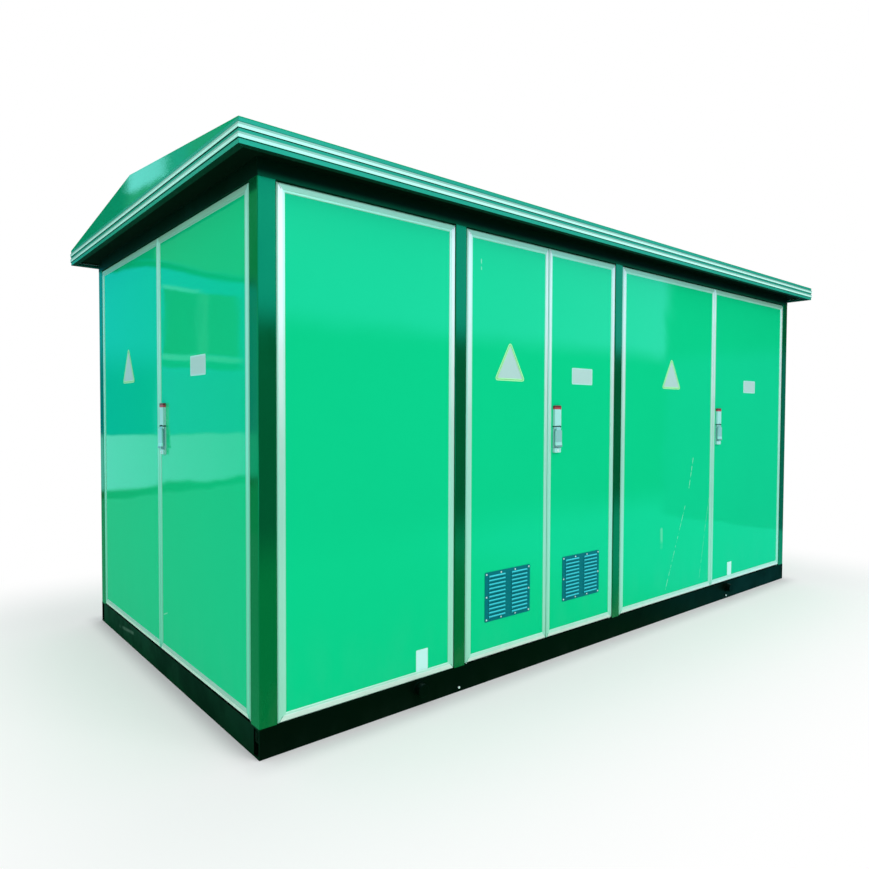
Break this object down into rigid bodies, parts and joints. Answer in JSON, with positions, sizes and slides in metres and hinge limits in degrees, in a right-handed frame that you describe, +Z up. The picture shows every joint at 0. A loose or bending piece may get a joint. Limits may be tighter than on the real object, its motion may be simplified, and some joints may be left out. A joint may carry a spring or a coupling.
{
  "type": "compact substation",
  "caption": "Walk-in box substation housing with hinged double doors, louvre plates, swing-handle locks, channel base and low gable roof.",
  "frame": {"origin": "on the ground under the middle of the housing, at the centre of the overall box", "axes": "+X along the long front towards the end without doors, +Y from the long front to the back, +Z up"},
  "size_m": [5.1, 2.68, 2.621],
  "materials": {
    "base_paint": "near-black green semi-gloss paint",
    "post_paint": "dark green semi-gloss paint",
    "board_green": "bright glossy green coating",
    "edge_aluminium": "satin pale aluminium",
    "roof_green": "glossy mid green coating",
    "eave_green": "satin green with pale ribs",
    "soffit_dark": "dark green matt paint",
    "louvre_teal": "teal painted pressed sheet",
    "lock_body": "pale satin lock body",
    "lever_grey": "grey satin lever",
    "floor_steel": "grey floor paint"
  },
  "bodies": {
    "housing": {"back_bay_1_board": "board_green", "back_bay_1_frame": "edge_aluminium", "back_bay_2_board": "board_green", "back_bay_2_frame": "edge_aluminium", "back_bay_3_board": "board_green", "back_bay_3_frame": "edge_aluminium", "back_post_1": "post_paint", "back_post_2": "post_paint", "base_frame": "base_paint", "ceiling_sheet": "soffit_dark", "corner_post_back_left": "post_paint", "corner_post_back_right": "post_paint", "corner_post_front_left": "post_paint", "corner_post_front_right": "post_paint", "eave_back": "eave_green", "eave_front": "eave_green", "eave_left": "eave_green", "eave_right": "eave_green", "floor_tray": "floor_steel", "front_bay_1_board": "board_green", "front_bay_1_frame": "edge_aluminium", "front_post_1": "post_paint", "front_post_2": "post_paint", "gable_left": "roof_green", "gable_right": "roof_green", "right_end_board": "board_green", "right_end_frame": "edge_aluminium", "roof_slope_back": "roof_green", "roof_slope_front": "roof_green", "top_ring_beam": "post_paint"},
    "front_bay_2_left_leaf": {"front_bay_2_left_leaf_board": "board_green", "front_bay_2_left_leaf_frame": "edge_aluminium", "front_bay_2_left_leaf_louvre": "louvre_teal"},
    "front_bay_2_right_leaf": {"front_bay_2_right_leaf_board": "board_green", "front_bay_2_right_leaf_frame": "edge_aluminium", "front_bay_2_right_leaf_lock_body": "lock_body", "front_bay_2_right_leaf_louvre": "louvre_teal"},
    "front_bay_2_right_leaf_lever": {"front_bay_2_right_leaf_lever": "lever_grey"},
    "front_bay_3_left_leaf": {"front_bay_3_left_leaf_board": "board_green", "front_bay_3_left_leaf_frame": "edge_aluminium"},
    "front_bay_3_right_leaf": {"front_bay_3_right_leaf_board": "board_green", "front_bay_3_right_leaf_frame": "edge_aluminium", "front_bay_3_right_leaf_lock_body": "lock_body"},
    "front_bay_3_right_leaf_lever": {"front_bay_3_right_leaf_lever": "lever_grey"},
    "left_end_right_leaf": {"left_end_right_leaf_board": "board_green", "left_end_right_leaf_frame": "edge_aluminium", "left_end_right_leaf_lock_body": "lock_body"},
    "left_end_right_leaf_lever": {"left_end_right_leaf_lever": "lever_grey"},
    "left_end_left_leaf": {"left_end_left_leaf_board": "board_green", "left_end_left_leaf_frame": "edge_aluminium"}
  },
  "joints": [
    {"name": "front_bay_2_left_leaf_swing", "type": "hinge", "parent": "housing", "child": "front_bay_2_left_leaf", "pos_m": [-1.274, -1.189, 1.2], "axis": [0, 0, -1], "range_deg": [0, 100]},
    {"name": "front_bay_2_right_leaf_swing", "type": "hinge", "parent": "housing", "child": "front_bay_2_right_leaf", "pos_m": [-0.06, -1.189, 1.2], "axis": [0, 0, 1], "range_deg": [0, 90]},
    {"name": "front_bay_2_right_leaf_lever_fold", "type": "hinge", "parent": "front_bay_2_right_leaf", "child": "front_bay_2_right_leaf_lever", "pos_m": [-0.594, -1.207, 1.324], "axis": [1, 0, 0], "range_deg": [-70, 0]},
    {"name": "front_bay_3_left_leaf_swing", "type": "hinge", "parent": "housing", "child": "front_bay_3_left_leaf", "pos_m": [0.05, -1.189, 1.2], "axis": [0, 0, -1], "range_deg": [0, 90]},
    {"name": "front_bay_3_right_leaf_swing", "type": "hinge", "parent": "housing", "child": "front_bay_3_right_leaf", "pos_m": [2.31, -1.189, 1.2], "axis": [0, 0, 1], "range_deg": [0, 100]},
    {"name": "front_bay_3_right_leaf_lever_fold", "type": "hinge", "parent": "front_bay_3_right_leaf", "child": "front_bay_3_right_leaf_lever", "pos_m": [1.253, -1.207, 1.324], "axis": [1, 0, 0], "range_deg": [-70, 0]},
    {"name": "left_end_right_leaf_swing", "type": "hinge", "parent": "housing", "child": "left_end_right_leaf", "pos_m": [-2.399, -1.1, 1.2], "axis": [0, 0, 1], "range_deg": [0, 100]},
    {"name": "left_end_right_leaf_lever_fold", "type": "hinge", "parent": "left_end_right_leaf", "child": "left_end_right_leaf_lever", "pos_m": [-2.417, -0.073, 1.324], "axis": [0, -1, 0], "range_deg": [-70, 0]},
    {"name": "left_end_left_leaf_swing", "type": "hinge", "parent": "housing", "child": "left_end_left_leaf", "pos_m": [-2.399, 1.1, 1.2], "axis": [0, 0, -1], "range_deg": [0, 100]}
  ]
}
